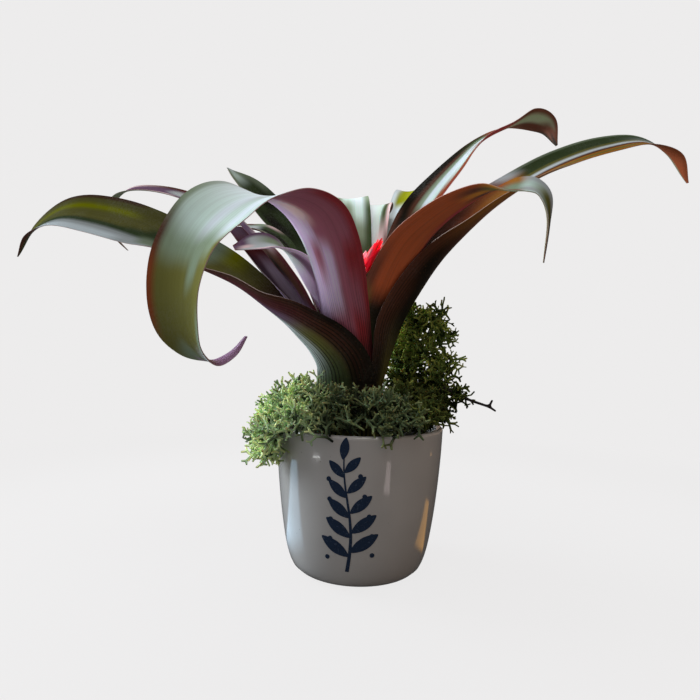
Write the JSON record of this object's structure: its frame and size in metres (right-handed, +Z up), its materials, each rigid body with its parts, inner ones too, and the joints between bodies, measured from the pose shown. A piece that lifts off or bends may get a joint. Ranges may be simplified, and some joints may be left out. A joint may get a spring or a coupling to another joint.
{
  "type": "potted bromeliad",
  "caption": "Bromeliad with long arching strap leaves and a small red flower head, in a round glazed mug filled with soil and topped with branching reindeer moss.",
  "frame": {"origin": "middle of the mug's foot, on the surface it stands on", "axes": "+Z up along the mug's axis, -Y towards the front of the plant, +X to the right of it as seen from the front"},
  "size_m": [0.4401, 0.2212, 0.2692],
  "materials": {
    "leaf_olive": "satin leaf skin with fine lengthwise veins",
    "leaf_brown": "satin leaf skin with fine lengthwise veins",
    "leaf_mauve": "satin leaf skin with a pale bloom",
    "leaf_grey_green": "satin leaf skin",
    "leaf_silver": "satin leaf skin with silver scales",
    "stem": "fibrous green stem",
    "bract_red": "satin red bracts",
    "glazed_white": "smooth white glaze with a navy sprig",
    "soil": "loose dark potting soil",
    "moss_pale": "dry, matt, springy moss",
    "moss_dark": "dry, matt, springy moss",
    "moss_twig": "dark dry twig"
  },
  "bodies": {
    "root": {"leaf_left": "leaf_olive", "leaf_right": "leaf_brown", "leaf_thin_left": "leaf_brown", "leaf_front": "leaf_mauve", "leaf_back_right": "leaf_olive", "leaf_front_right": "leaf_brown", "leaf_shaded": "leaf_grey_green", "leaf_purple": "leaf_mauve", "leaf_back": "leaf_silver", "leaf_curl": "leaf_silver", "leaf_upper_right": "leaf_brown", "leaf_back_left": "leaf_grey_green", "leaf_silver": "leaf_silver", "stem": "stem", "bloom": "bract_red", "mug": "glazed_white", "soil": "soil", "moss_left": "moss_pale", "moss_front": "moss_pale", "moss_right": "moss_dark", "moss_tall": "moss_dark", "moss_back": "moss_pale", "moss_stem": "moss_twig"}
  },
  "joints": []
}
